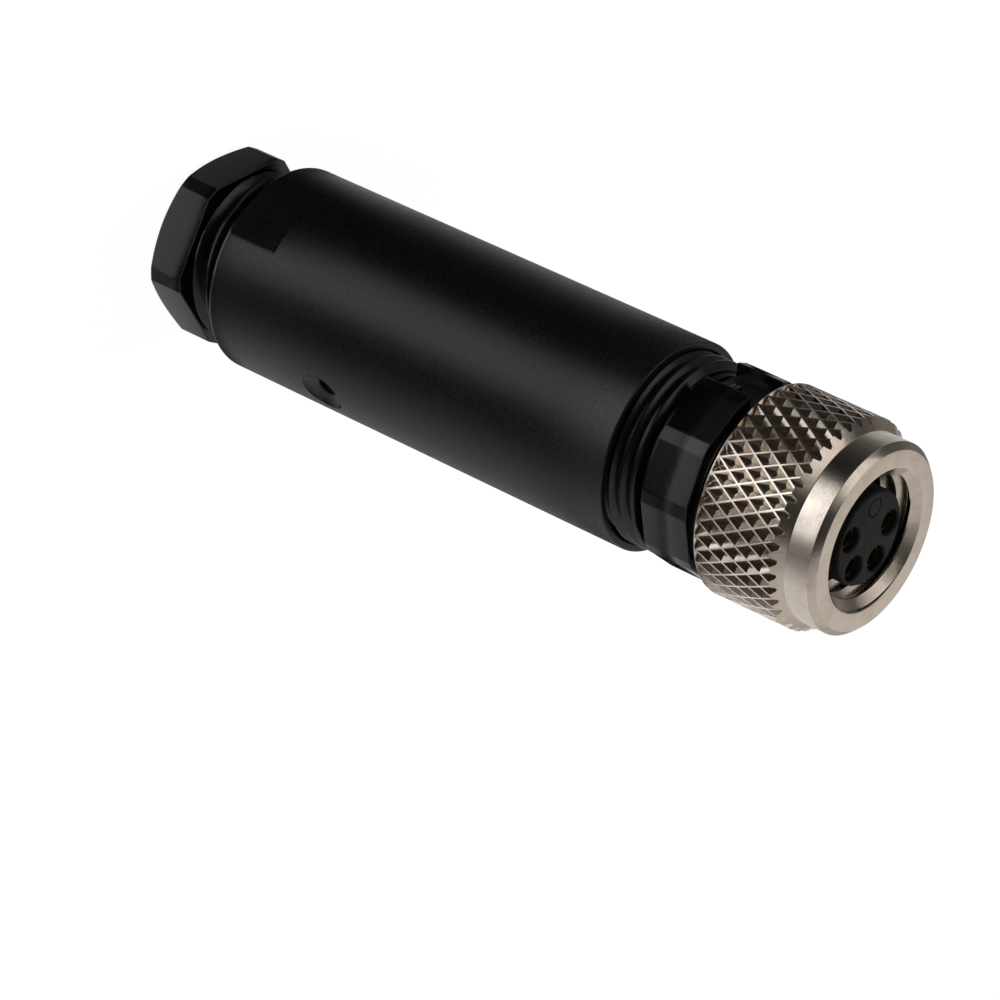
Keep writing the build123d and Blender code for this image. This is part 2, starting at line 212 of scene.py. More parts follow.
# %% [markdown]
# Each ring or belt is a band of faces round the part's axis. It shows in reflections alone: no
# camera sees it, it casts no shadow, and it lights no rough surface.

# %% Rings and belts
NUT_HEIGHT = 0.042
DOME_RADIUS = 0.4
JUST_ABOVE_FLOOR = 0.00002
RING_STEPS = 72
WARM = (1.0, 0.95, 0.9)


def reflection_ring(name, rows, tones, tint=(1, 1, 1), base=(0, 0, 0)):
    """Belt round the axis through rows of (distance, height) in metres, seen by mirrors."""
    points = []
    for distance, height in rows:
        for i in range(RING_STEPS):
            angle = math.tau * i / RING_STEPS
            points.append((distance * math.cos(angle), distance * math.sin(angle), height))
    faces = []
    for row in range(len(rows) - 1):
        for i in range(RING_STEPS):
            a = row * RING_STEPS + i
            b = row * RING_STEPS + (i + 1) % RING_STEPS
            faces.append((a, b, b + RING_STEPS, a + RING_STEPS))
    mesh = bpy.data.meshes.new(name)
    mesh.from_pydata(points, [], faces)
    mesh.materials.append(toned(name, tones, tint, base))
    made = bpy.data.objects.new(name, mesh)
    bpy.context.scene.collection.objects.link(made)
    made.visible_camera = False
    made.visible_diffuse = False
    made.visible_transmission = False
    made.visible_volume_scatter = False
    made.visible_shadow = False
    return made


def floor_ring(name, inner, outer, tones):
    """Ring on the floor between two distances from the axis."""
    rows = [(inner, JUST_ABOVE_FLOOR), (outer, JUST_ABOVE_FLOOR)]
    return reflection_ring(name, rows, tones)


def dome_belt(name, low, high, tones):
    """Belt of the dome round the nut, between two elevations in degrees."""
    bands = 6
    rows = []
    for i in range(bands + 1):
        rise = math.radians(low + (high - low) * i / bands)
        rows.append((DOME_RADIUS * math.cos(rise), NUT_HEIGHT + DOME_RADIUS * math.sin(rise)))
    return reflection_ring(name, rows, tones, WARM)


print("helpers: reflection_ring, floor_ring, dome_belt")

# %% [markdown]
# The camera looks down, so the upright sides of the part mirror the floor, and the higher a place
# is, the further out it mirrors. The head of the gland screw mirrors the floor at its foot, the
# barrel a ring up to six centimetres out, and then come the collar, the knurl and the nut's neck.
# In each ring the keys are azimuths in degrees, with the camera near -92, and the values are tones.

# %% Rings on the floor
FLOOR_END = 0.395
floor_ring("Floor at the foot", 0.003, 0.0093, {
    -180: 0.18, -127: 0.18, -124: 0.09, -113: 0.09, -110: 0.9, -60: 0.9, -57: 0.28, -41: 0.28,
    -37: 0.4, 40: 0.4, 60: 0.3, 120: 0.1, 180: 0.18,
})
# The ring under the thread is nearly black: painted shadow, for the shade that the head and the
# barrel throw on the floor there. Where the rings near the part are darker than the far floor, that
# too is painted shadow of the part.
floor_ring("Painted shadow under the thread", 0.0093, 0.0118, {-180: 0.02, 30: 0.02, 60: 0.3, 180: 0.02})
floor_ring("Floor beside the flat", 0.0118, 0.021, {
    -180: 0.02, -114: 0.0, -106: 0.7, -92: 1.15, -76: 0.7, -66: 0.22, -52: 0.1, -28: 0.26,
    -12: 0.48, 4: 0.52, 36: 0.36, 52: 0.25, 68: 0.2, 84: 0.1, 100: 0.2, 108: 0.5, 124: 0.45,
    140: 0.4, 156: 0.28, 172: 0.08, 180: 0.02,
})
floor_ring("Floor near", 0.021, 0.0595, {
    -180: 0.03, -172: 0.02, -156: 0.0, -136: 0.0, -127: 0.08, -118: 0.55, -108: 0.85, -92: 1.05,
    -80: 0.75, -70: 0.25, -60: 0.06, -48: 0.04, -30: 0.16, -12: 0.36, 4: 0.43, 20: 0.42,
    36: 0.37, 52: 0.31, 68: 0.27, 84: 0.22, 108: 0.35, 124: 0.33, 140: 0.3, 156: 0.18,
    172: 0.06, 180: 0.03,
})
floor_ring("Floor by the collar", 0.0595, 0.0745, {
    -180: 0.0, -127: 0.0, -118: 0.25, -108: 0.42, -92: 0.5, -80: 0.3, -70: 0.04, -60: 0.0,
    -34: 0.0, -12: 0.16, 4: 0.22, 20: 0.16, 40: 0.02, 60: 0.0, 180: 0.0,
})
floor_ring("Floor by the knurl", 0.0745, 0.0862, {
    -180: 0.1, -150: 0.05, -136: 0.08, -130: 0.3, -122: 1.2, -116: 1.6, -100: 2.0, -84: 1.9,
    -68: 1.6, -60: 1.1, -52: 0.8, -30: 0.8, -4: 0.95, 60: 1.0, 100: 0.9, 132: 0.6, 148: 0.4,
    164: 0.2, 180: 0.1,
})
floor_ring("Floor far", 0.0862, FLOOR_END, {
    -180: 0.05, -164: 0.024, -148: 0.012, -136: 0.03, -130: 0.15, -122: 0.8, -116: 1.1,
    -100: 1.6, -84: 1.42, -68: 1.0, -60: 0.5, -52: 0.24, -40: 0.17, -30: 0.28, -20: 0.44,
    -4: 0.61, 12: 0.66, 60: 0.66, 76: 0.63, 100: 0.6, 116: 0.55, 132: 0.49, 148: 0.33,
    156: 0.18, 164: 0.1, 180: 0.05,
})
print("rings on the floor go out to", FLOOR_END, "m")

# %% [markdown]
# Surfaces that face upward mirror the dome: the chamfers, the thread's upper flanks and the sides
# of the knurl's pits. The dome is slightly warm. The belt beside the knurl stands so close that the
# pits see it and the neck doesn't. It gives them their dark brown between the bright ridges.

# %% Belts of the dome
dome_belt("Dome rim", -5.9, 10, {
    -180: 0.15, -152: 0.18, -136: 0.22, -121: 0.18, -108: 0.04, -95: 0.014, -75: 0.012,
    -64: 0.1, -51: 0.36, -35: 0.58, -15: 0.75, 15: 0.6, 60: 0.36, 90: 0.3, 120: 0.15, 150: 0.1,
    180: 0.15,
})
reflection_ring("Belt beside the knurl", [(0.02, 0.0415), (0.02, 0.0484)], {
    -180: 0.2, -162: 0.16, -149: 0.06, -136: 0.025, -121: 0.008, -78: 0.003, -64: 0.01, -56: 0.045,
    -49: 0.09, -37: 0.22, -25: 0.5, -12: 0.85, 0: 0.8, 15: 0.6, 60: 0.36, 90: 0.3, 120: 0.15,
    150: 0.15, 180: 0.2,
}, tint=WARM, base=(0.011, 0.0055, 0.0032))
dome_belt("Dome low", 10, 36, {
    -180: 0.3, -165: 0.25, -135: 0.08, -118: 0.02, -64: 0.015, -52: 0.1, -30: 0.35, -10: 0.5,
    20: 0.56, 60: 0.56, 88: 0.62, 110: 0.3, 135: 0.11, 160: 0.06, 172: 0.25, 180: 0.3,
})
dome_belt("Dome high", 36, 64, {
    -180: 0.85, -157: 0.95, -141: 0.8, -122: 0.29, -103: 0.05, -62: 0.03, -44: 0.08, -28: 0.29,
    -13: 0.4, 0: 0.52, 60: 0.54, 88: 0.62, 120: 0.4, 147: 0.25, 158: 0.55, 170: 0.77, 180: 0.85,
})
dome_belt("Dome top", 64, 90, {
    -180: 0.55, -155: 0.35, -125: 0.09, -84: 0.05, -46: 0.08, -21: 0.22, 0: 0.35, 40: 0.45,
    90: 0.5, 140: 0.5, 180: 0.55,
})
print("belts of the dome stand", DOME_RADIUS, "m from the nut")

# %% [markdown]
# Two soft lamps give the plain light, one in front and a weaker one behind. They are hidden from
# mirrors, because the tent already says what those show.

# %% Lamps
PART_MIDDLE = (0, 0, 0.03)


def soft_lamp(name, place, size, power):
    """Square softbox of a given size in metres and power in watts, aimed at the part."""
    lamp_data = bpy.data.lights.new(name, "AREA")
    lamp_data.size = size
    lamp_data.energy = power
    lamp = bpy.data.objects.new(name, lamp_data)
    bpy.context.scene.collection.objects.link(lamp)
    lamp.location = place
    aim = Vector(PART_MIDDLE) - Vector(place)
    lamp.rotation_euler = aim.to_track_quat("-Z", "Y").to_euler()
    lamp.visible_camera = False
    lamp.visible_glossy = False
    return lamp


soft_lamp("Softbox front", (0.12, -0.28, 0.32), size=0.22, power=0.55)
soft_lamp("Softbox back", (-0.2, 0.26, 0.3), size=0.2, power=0.4)
print("lamps: 2")

# %% [markdown]
# Four surface effects come back in several materials, so each is a node group with named
# sockets, built once. The sockets belong to the group's interface, and a helper makes them.

# %% Group helpers
def new_group(name, inputs, outputs):
    """Node group with float inputs (name: default) and outputs (name: socket type)."""
    group = bpy.data.node_groups.new(name, "ShaderNodeTree")
    for label, default in inputs.items():
        socket = group.interface.new_socket(label, in_out="INPUT", socket_type="NodeSocketFloat")
        socket.default_value = default
    for label, kind in outputs.items():
        group.interface.new_socket(label, in_out="OUTPUT", socket_type=kind)
    return group, group.nodes.new("NodeGroupInput"), group.nodes.new("NodeGroupOutput")


def ramp(tree, low, high):
    """Map Range node that turns low..high into 0..1 and clamps."""
    return node(tree, "ShaderNodeMapRange", From_Min=low, From_Max=high)


print("helpers: new_group, ramp")

# %% [markdown]
# Moulded grain is the fine, uneven skin that plastic takes from its mould. One noise gives its
# height, and a much broader one a cloudy mask for the colour.

# %% Moulded grain
def moulded_grain():
    """Two sizes of noise: a fine height and a broad, cloudy mask."""
    tree, given, out = new_group(
        "Moulded grain",
        {"Grain per metre": 7000.0, "Cloud per metre": 500.0},
        {"Height": "NodeSocketFloat", "Cloud": "NodeSocketFloat"},
    )
    place = node(tree, "ShaderNodeTexCoord")
    fine = node(tree, "ShaderNodeTexNoise", Detail=3.0, Roughness=0.6)
    cloud = node(tree, "ShaderNodeTexNoise", Detail=4.0, Roughness=0.55)
    for noise, rate in ((fine, "Grain per metre"), (cloud, "Cloud per metre")):
        tree.links.new(place.outputs["Object"], noise.inputs["Vector"])
        tree.links.new(given.outputs[rate], noise.inputs["Scale"])
    tree.links.new(fine.outputs["Fac"], out.inputs["Height"])
    tree.links.new(cloud.outputs["Fac"], out.inputs["Cloud"])
    return tree


GRAIN = moulded_grain()
print("group:", GRAIN.name)

# %% [markdown]
# Painted edge highlights: the corners get a paler colour that stands for the thin line of light
# a rounded edge catches. The Bevel node gives a normal as if the corners were rounder, and where
# it differs from the real normal there is a corner. Noise breaks the line up.

# %% Painted edge highlights
def painted_edge_highlights():
    """1 on a corner, 0 on open surface, broken up by a little noise."""
    tree, given, out = new_group(
        "Painted edge highlights", {"Reach": 0.00006, "Gain": 6.0}, {"Mask": "NodeSocketFloat"}
    )
    rounded_normal = node(tree, "ShaderNodeBevel", samples=4)
    geometry = node(tree, "ShaderNodeNewGeometry")
    compare = node(tree, "ShaderNodeVectorMath", operation="DOT_PRODUCT")
    turned_away = node(tree, "ShaderNodeMath", operation="SUBTRACT")
    turned_away.inputs[0].default_value = 1.0
    gain = node(tree, "ShaderNodeMath", operation="MULTIPLY", use_clamp=True)
    place = node(tree, "ShaderNodeTexCoord")
    breakup = node(tree, "ShaderNodeTexNoise", Scale=3500.0, Detail=3.0)
    keep = ramp(tree, 0.38, 0.62)
    broken = node(tree, "ShaderNodeMath", operation="MULTIPLY")
    tree.links.new(given.outputs["Reach"], rounded_normal.inputs["Radius"])
    tree.links.new(rounded_normal.outputs[0], compare.inputs[0])
    tree.links.new(geometry.outputs["Normal"], compare.inputs[1])
    tree.links.new(compare.outputs["Value"], turned_away.inputs[1])
    tree.links.new(turned_away.outputs[0], gain.inputs[0])
    tree.links.new(given.outputs["Gain"], gain.inputs[1])
    tree.links.new(place.outputs["Object"], breakup.inputs["Vector"])
    tree.links.new(breakup.outputs["Fac"], keep.inputs["Value"])
    tree.links.new(gain.outputs[0], broken.inputs[0])
    tree.links.new(keep.outputs[0], broken.inputs[1])
    tree.links.new(broken.outputs[0], out.inputs["Mask"])
    return tree


EDGES = painted_edge_highlights()
print("group:", EDGES.name)

# %% [markdown]
# Dust specks are rare bright dots. A Voronoi texture has one point in each cell and a random
# colour for the cell, so a small share of the cells can be picked to show their point.

# %% Dust specks
DOT_RADIUS = 0.045


def dust_specks():
    """Sparse round dots; Share is how much of the surface's cells holds one."""
    tree, given, out = new_group(
        "Dust specks", {"Cells per metre": 900.0, "Share": 0.03}, {"Mask": "NodeSocketFloat"}
    )
    place = node(tree, "ShaderNodeTexCoord")
    cells = node(tree, "ShaderNodeTexVoronoi")
    near = node(tree, "ShaderNodeMath", operation="LESS_THAN")
    near.inputs[1].default_value = DOT_RADIUS
    split = node(tree, "ShaderNodeSeparateColor")
    chosen = node(tree, "ShaderNodeMath", operation="LESS_THAN")
    both = node(tree, "ShaderNodeMath", operation="MULTIPLY")
    tree.links.new(place.outputs["Object"], cells.inputs["Vector"])
    tree.links.new(given.outputs["Cells per metre"], cells.inputs["Scale"])
    tree.links.new(cells.outputs["Distance"], near.inputs[0])
    tree.links.new(cells.outputs["Color"], split.inputs["Color"])
    tree.links.new(split.outputs[0], chosen.inputs[0])
    tree.links.new(given.outputs["Share"], chosen.inputs[1])
    tree.links.new(near.outputs[0], both.inputs[0])
    tree.links.new(chosen.outputs[0], both.inputs[1])
    tree.links.new(both.outputs[0], out.inputs["Mask"])
    return tree


SPECKS = dust_specks()
print("group:", SPECKS.name)

# %% [markdown]
# Turned marks are the fine rings that a lathe tool leaves, and they follow the part's own axis.
# The distance from the axis plus the height grows along most turned faces, so a noise in that one
# number gives rings on all of them. The finer satin of the plating lies over the rings.

# %% Turned marks
RING_SHARE = 0.5


def turned_marks():
    """Fine rings on turned faces under a satin skin, and a blotchy mask."""
    tree, given, out = new_group(
        "Turned marks",
        {"Rings per metre": 14000.0, "Blotches per metre": 900.0},
        {"Height": "NodeSocketFloat", "Blotch": "NodeSocketFloat"},
    )
    place = node(tree, "ShaderNodeTexCoord")
    parts = node(tree, "ShaderNodeSeparateXYZ")
    across = node(tree, "ShaderNodeVectorMath", operation="LENGTH")
    flat = node(tree, "ShaderNodeVectorMath", operation="MULTIPLY")
    flat.inputs[1].default_value = (1, 1, 0)
    depth = node(tree, "ShaderNodeMath", operation="ADD")
    rate = node(tree, "ShaderNodeMath", operation="MULTIPLY")
    rings = node(tree, "ShaderNodeTexNoise", noise_dimensions="1D", Scale=1.0, Detail=2.0)
    faint = node(tree, "ShaderNodeMath", operation="MULTIPLY")
    faint.inputs[1].default_value = RING_SHARE
    satin = node(tree, "ShaderNodeTexNoise", Scale=6500.0, Detail=2.0)
    skin = node(tree, "ShaderNodeMath", operation="ADD")
    blotch = node(tree, "ShaderNodeTexNoise", Detail=5.0, Roughness=0.6)
    tree.links.new(place.outputs["Object"], parts.inputs[0])
    tree.links.new(place.outputs["Object"], flat.inputs[0])
    tree.links.new(flat.outputs[0], across.inputs[0])
    tree.links.new(across.outputs["Value"], depth.inputs[0])
    tree.links.new(parts.outputs["Z"], depth.inputs[1])
    tree.links.new(depth.outputs[0], rate.inputs[0])
    tree.links.new(given.outputs["Rings per metre"], rate.inputs[1])
    tree.links.new(rate.outputs[0], rings.inputs["W"])
    tree.links.new(place.outputs["Object"], blotch.inputs["Vector"])
    tree.links.new(given.outputs["Blotches per metre"], blotch.inputs["Scale"])
    tree.links.new(place.outputs["Object"], satin.inputs["Vector"])
    tree.links.new(rings.outputs["Fac"], faint.inputs[0])
    tree.links.new(faint.outputs[0], skin.inputs[0])
    tree.links.new(satin.outputs["Fac"], skin.inputs[1])
    tree.links.new(skin.outputs[0], out.inputs["Height"])
    tree.links.new(blotch.outputs["Fac"], out.inputs["Blotch"])
    return tree


MARKS = turned_marks()
print("group:", MARKS.name)

# %% [markdown]
# The housing is black polyamide from a lightly textured mould. Its colour is nearly black, and
# what the eye sees is the blurred mirror image of the studio, so roughness matters more than
# colour. The grain goes into a tiny bump and into the roughness, the corners are a little paler as
# a painted highlight, and a few specks of dust lie on it. The screwed pieces come from a smoother
# mould, and the insert is a duller plastic than either.

# %% Plastic finish
def placed(tree, group, **values):
    """Adds a shared group to a material with its own values."""
    made = tree.nodes.new("ShaderNodeGroup")
    made.node_tree = group
    for name, value in values.items():
        made.inputs[name.replace("_", " ")].default_value = value
    return made


def plastic(name, dark, pale, rough, grain=7000.0, bump=0.000004, dust=0.03, edge_highlight=0.25, ior=1.5):
    """Moulded plastic: tones dark and pale, a pair of roughness limits, grain and bump sizes."""
    material = bpy.data.materials.new(name)
    material.use_nodes = True
    tree = material.node_tree
    shader = tree.nodes["Principled BSDF"]
    shader.inputs["IOR"].default_value = ior
    skin = placed(tree, GRAIN, Grain_per_metre=grain)
    corners = placed(tree, EDGES)
    specks = placed(tree, SPECKS, Share=dust)
    tone = node(tree, "ShaderNodeMix", data_type="RGBA")
    tone.inputs[6].default_value = (*dark, 1)
    tone.inputs[7].default_value = (*pale, 1)
    # Paler corners: a painted highlight, for the line of light that an edge catches.
    edge_lit = node(tree, "ShaderNodeMix", data_type="RGBA")
    edge_lit.inputs[7].default_value = (0.05, 0.05, 0.052, 1)
    share = node(tree, "ShaderNodeMath", operation="MULTIPLY")
    share.inputs[1].default_value = edge_highlight
    dusty = node(tree, "ShaderNodeMix", data_type="RGBA")
    dusty.inputs[7].default_value = (0.45, 0.45, 0.45, 1)
    spread = node(tree, "ShaderNodeMapRange", From_Min=0.3, From_Max=0.7)
    spread.inputs["To Min"].default_value = rough[0]
    spread.inputs["To Max"].default_value = rough[1]
    relief = node(tree, "ShaderNodeBump", Strength=1.0, Distance=bump)
    tree.links.new(skin.outputs["Cloud"], tone.inputs[0])
    tree.links.new(tone.outputs[2], edge_lit.inputs[6])
    tree.links.new(corners.outputs["Mask"], share.inputs[0])
    tree.links.new(share.outputs[0], edge_lit.inputs[0])
    tree.links.new(edge_lit.outputs[2], dusty.inputs[6])
    tree.links.new(specks.outputs["Mask"], dusty.inputs[0])
    tree.links.new(dusty.outputs[2], shader.inputs["Base Color"])
    tree.links.new(skin.outputs["Height"], spread.inputs["Value"])
    tree.links.new(spread.outputs[0], shader.inputs["Roughness"])
    tree.links.new(skin.outputs["Height"], relief.inputs["Height"])
    tree.links.new(relief.outputs[0], shader.inputs["Normal"])
    return material


HOUSING = plastic(
    "Housing plastic", dark=(0.003, 0.003, 0.0032), pale=(0.006, 0.006, 0.0064),
    rough=(0.22, 0.38), grain=5200.0, bump=0.000005,
)
COLLAR = plastic(
    "Collar plastic", dark=(0.001, 0.001, 0.001), pale=(0.0025, 0.0025, 0.0027),
    rough=(0.14, 0.24), grain=6000.0, bump=0.000004,
)
INSERT = plastic(
    "Insert plastic", dark=(0.003, 0.003, 0.0032), pale=(0.006, 0.006, 0.0062),
    rough=(0.46, 0.58), dust=0.02, ior=1.3,
)
CAGE = plastic("Cage plastic", (0.02, 0.02, 0.021), (0.03, 0.03, 0.031), (0.4, 0.55))
RUBBER = plastic("Seal rubber", (0.01, 0.01, 0.01), (0.016, 0.016, 0.016), (0.6, 0.8), 4000.0)
print("plastics:", HOUSING.name, COLLAR.name, INSERT.name, CAGE.name, RUBBER.name)

# %% [markdown]
# The nut is turned brass with a satin nickel plating, which is slightly warm. A metal has no
# diffuse colour: it tints its reflections, and the lathe's rings stretch them. The rings go into
# the bump, and a blotchy noise moves the roughness, as handling does. The same finish with other
# tints serves the gilt contacts and the zinc-plated screws.

# %% Metal finish
def metal(name, tint, shade, rough, rings=14000.0, bump=0.0000015):
    """Plated metal between two tints, with a pair of roughness limits and lathe rings."""
    material = bpy.data.materials.new(name)
    material.use_nodes = True
    tree = material.node_tree
    shader = tree.nodes["Principled BSDF"]
    shader.inputs["Metallic"].default_value = 1.0
    marks = placed(tree, MARKS, Rings_per_metre=rings)
    tone = node(tree, "ShaderNodeMix", data_type="RGBA")
    tone.inputs[6].default_value = (*tint, 1)
    tone.inputs[7].default_value = (*shade, 1)
    mottle = ramp(tree, 0.45, 0.75)
    spread = node(tree, "ShaderNodeMapRange", From_Min=0.3, From_Max=0.7)
    spread.inputs["To Min"].default_value = rough[0]
    spread.inputs["To Max"].default_value = rough[1]
    relief = node(tree, "ShaderNodeBump", Strength=1.0, Distance=bump)
    tree.links.new(marks.outputs["Blotch"], mottle.inputs["Value"])
    tree.links.new(mottle.outputs[0], tone.inputs[0])
    tree.links.new(tone.outputs[2], shader.inputs["Base Color"])
    tree.links.new(marks.outputs["Blotch"], spread.inputs["Value"])
    tree.links.new(spread.outputs[0], shader.inputs["Roughness"])
    tree.links.new(marks.outputs["Height"], relief.inputs["Height"])
    tree.links.new(relief.outputs[0], shader.inputs["Normal"])
    return material


NICKEL = metal(
    "Nickel plating", tint=(0.76, 0.682, 0.605), shade=(0.64, 0.56, 0.485), rough=(0.12, 0.22),
    bump=0.000003,
)
# The gilt tints are much darker than gold: painted shade, because the contacts sit deep in their
# holes.
SHADED_GILT = metal("Gilt contact in painted shade", (0.42, 0.3, 0.14), (0.25, 0.17, 0.07), (0.25, 0.4))
ZINC = metal("Zinc screw", (0.6, 0.6, 0.62), (0.42, 0.42, 0.44), (0.25, 0.4))
print("metals:", NICKEL.name, SHADED_GILT.name, ZINC.name)

# %% [markdown]
# Nearly every form here was turned or moulded round, so one helper matters most: a lathe. It
# takes rows of radius and height in millimetres and spins them into a closed skin. A row may also
# be a rule that gives its radius and height by angle, which makes flats, polygons and threads
# without any cutting. A second helper rounds the corners of an outline, because real corners
# catch a line of light.

# %% Lathe helpers
MERGE = 2e-8


def as_object(name, form):
    """Turns a bmesh into an object in the scene."""
    mesh = bpy.data.meshes.new(name)
    form.to_mesh(mesh)
    form.free()
    made = bpy.data.objects.new(name, mesh)
    bpy.context.scene.collection.objects.link(made)
    return made


def full_turn(count, exact=()):
    """Angles from 0 to a full turn, with the nearest ones moved onto some exact angles."""
    angles = [math.tau * i / count for i in range(count + 1)]
    for value in exact:
        nearest = round((value % math.tau) * count / math.tau)
        angles[max(1, min(count - 1, nearest))] = value % math.tau
    return angles


def spin(name, rows, angles):
    """Closed skin of revolution from rows, each (radius, height) or a rule by angle."""
    form = bmesh.new()
    loops = []
    for row in rows:
        loop = []
        for angle in angles:
            r, z = row(angle) if callable(row) else row
            loop.append(form.verts.new(
                (r * math.cos(angle) * MM, r * math.sin(angle) * MM, z * MM)
            ))
        loops.append(loop)
    solid = not callable(rows[0]) and rows[0][0] == 0
    following = loops[1:] if solid else loops[1:] + loops[:1]
    for low, high in zip(loops, following):
        for i in range(len(angles) - 1):
            form.faces.new((low[i], low[i + 1], high[i + 1], high[i]))
    bmesh.ops.remove_doubles(form, verts=form.verts, dist=MERGE)
    bmesh.ops.recalc_face_normals(form, faces=form.faces)
    return as_object(name, form)


def rounded(corners, steps=4):
    """Rows from corners (radius, height, rounding), where a rounding of 0 stays sharp."""
    rows = []
    for i, (r, z, size) in enumerate(corners):
        here = Vector((r, z))
        if size == 0:
            rows.append((r, z))
            continue
        to_last = (Vector(corners[i - 1][:2]) - here).normalized()
        to_next = (Vector(corners[(i + 1) % len(corners)][:2]) - here).normalized()
        half = to_last.angle(to_next) / 2
        centre = here + (to_last + to_next).normalized() * size / math.sin(half)
        first = here + to_last * size / math.tan(half) - centre
        last = here + to_next * size / math.tan(half) - centre
        swing = math.pi - 2 * half
        for k in range(steps + 1):
            share = k / steps
            spoke = first * math.sin((1 - share) * swing) + last * math.sin(share * swing)
            rows.append(tuple(centre + spoke / math.sin(swing)))
    return rows


print("helpers: as_object, full_turn, spin, rounded")

# %% [markdown]
# A screw thread is a helix, and a grid of level rings can only show it as a staircase. So the
# rows of a thread climb with the angle, one pitch in a full turn. Where the turn closes, each row
# meets the start of the row that lies one pitch above, and merging the points there leaves one
# seamless helical surface. Rows that would pass the thread's ends are held at them.

# %% Thread rule
THREAD_FORM = (
    (0.0, 0.04), (0.06, 0.0), (0.12, 0.04), (0.17, 0.14), (0.42, 0.9),
    (0.47, 1.0), (0.65, 1.0), (0.7, 0.9), (0.95, 0.14), (1.0, 0.04),
)


def groove_share(phase):
    """Depth of the thread's groove, from 0 on the crest to 1 at the root."""
    for (p0, s0), (p1, s1) in zip(THREAD_FORM, THREAD_FORM[1:]):
        if phase <= p1:
            return s0 + (s1 - s0) * (phase - p0) / (p1 - p0)
    return THREAD_FORM[0][1]


def thread_rows(crest, depth, pitch, low, high, crest_at, fade=0.0, least=None):
    """Rows of a thread; crest_at is a crest's height at azimuth 0, fade its rise above low."""
    def rule(height):
        def row(angle):
            z = height + pitch * angle / math.tau
            z = min(max(z, low), high)
            phase = ((z - start) / pitch - angle / math.tau) % 1.0
            undercut = 1 - (z - low) / fade if fade else 0.0
            r = crest - depth * max(groove_share(phase), undercut)
            return (max(r, least(z)) if least else r), z
        return row

    start = crest_at - THREAD_FORM[1][0] * pitch
    first = math.floor((low - start) / pitch) - 1
    last = math.ceil((high - start) / pitch) + 1
    levels = [
        start + (turn + phase) * pitch
        for turn in range(first, last) for phase, _ in THREAD_FORM[:-1]
    ]
    return [rule(level) for level in levels]


print("thread form:", len(THREAD_FORM), "points in a pitch")

# %% [markdown]
# A nut's hexagon and the collar's ten sides have blunt corners. Each side and each corner is a
# plane at its own distance, and the nearest plane in a direction gives the radius there. A high
# power takes the nearest one with a trace of rounding where two planes meet.

# %% Polygon rule
def polygon_radius(sides, flat, blunt, corner_angle, sharpness=900):
    """Rule for the radius of a polygon with blunt corners, and the angles of its edges."""
    facets = []
    edges = []
    lean = math.cos(math.pi / sides)
    half_blunt = math.atan((flat / blunt - lean) / math.sin(math.pi / sides))
    for i in range(sides):
        corner = corner_angle + math.tau * i / sides
        facets.append((corner, blunt))
        facets.append((corner + math.pi / sides, flat))
        edges += [corner - half_blunt, corner + half_blunt]

    def radius(angle):
        leans = [math.cos(angle - facing) / reach for facing, reach in facets]
        steepest = max(leans)
        total = sum((lean / steepest) ** sharpness for lean in leans if lean > 0)
        return total ** (-1 / sharpness) / steepest

    return radius, edges


print("helper: polygon_radius")

# %% [markdown]
# Slots and holes are cut with Boolean modifiers, as a mill would cut them. Each modifier is
# applied at once, so that the next step works on a plain mesh. The last step smooths the shading
# and keeps sharp edges crisp, then hands the piece to its body and hides the solid it stands for.

# %% Cutting and finishing helpers
def apply_steps(piece):
    """Bakes the modifiers of a piece into its mesh."""
    graph = bpy.context.evaluated_depsgraph_get()
    baked = bpy.data.meshes.new_from_object(piece.evaluated_get(graph))
    piece.modifiers.clear()
    old = piece.data
    piece.data = baked
    bpy.data.meshes.remove(old)


def cut(piece, tool, operation="DIFFERENCE"):
    """Cuts a piece with a tool object, and removes the tool."""
    step = piece.modifiers.new("Cut", "BOOLEAN")
    step.operation = operation
    step.solver = "EXACT"
    step.object = tool
    apply_steps(piece)
    bpy.data.objects.remove(tool)


def block(name, size, place, turned_by, rounding=0.0):
    """Box of a size (x, y, z) round a place, turned about Z, with its edges rounded."""
    form = bmesh.new()
    bmesh.ops.create_cube(form, size=1.0)
    bmesh.ops.scale(form, vec=Vector(size) * MM, verts=form.verts)
    if rounding:
        bmesh.ops.bevel(
            form, geom=form.edges[:], offset=rounding * MM, segments=3, profile=0.5,
            affect="EDGES",
        )
    bmesh.ops.translate(form, vec=Vector(place) * MM, verts=form.verts)
    bmesh.ops.rotate(form, matrix=Matrix.Rotation(turned_by, 3, "Z"), verts=form.verts)
    return as_object(name, form)


def finish_piece(piece, material, body, node_name, crisp=30.0):
    """Shades a piece, gives it its material and body, and hides the solid it stands for."""
    piece.data.materials.clear()
    piece.data.materials.append(material)
    for face in piece.data.polygons:
        face.use_smooth = True
    piece.data.set_sharp_from_angle(angle=math.radians(crisp))
    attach(piece, body)
    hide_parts(node_name)
    print(piece.name, "has", len(piece.data.polygons), "faces")
    return piece


def heights(node_name):
    """Lowest and highest point of a node, in millimetres."""
    low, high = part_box(node_name)
    return low.z / MM, high.z / MM


print("helpers: apply_steps, cut, block, finish_piece, heights")

# %% [markdown]
# The barrel is one moulding, screwed at both ends. Its rear edge is generously round, two
# wrench flats are milled into the mould there, and a dish with a deeper pit marks the place where
# the plastic was injected. The flats are part of the lathe's rule: inside the flat the radius is
# the distance to a plane. The dish is cut afterwards with a tool that is itself turned.

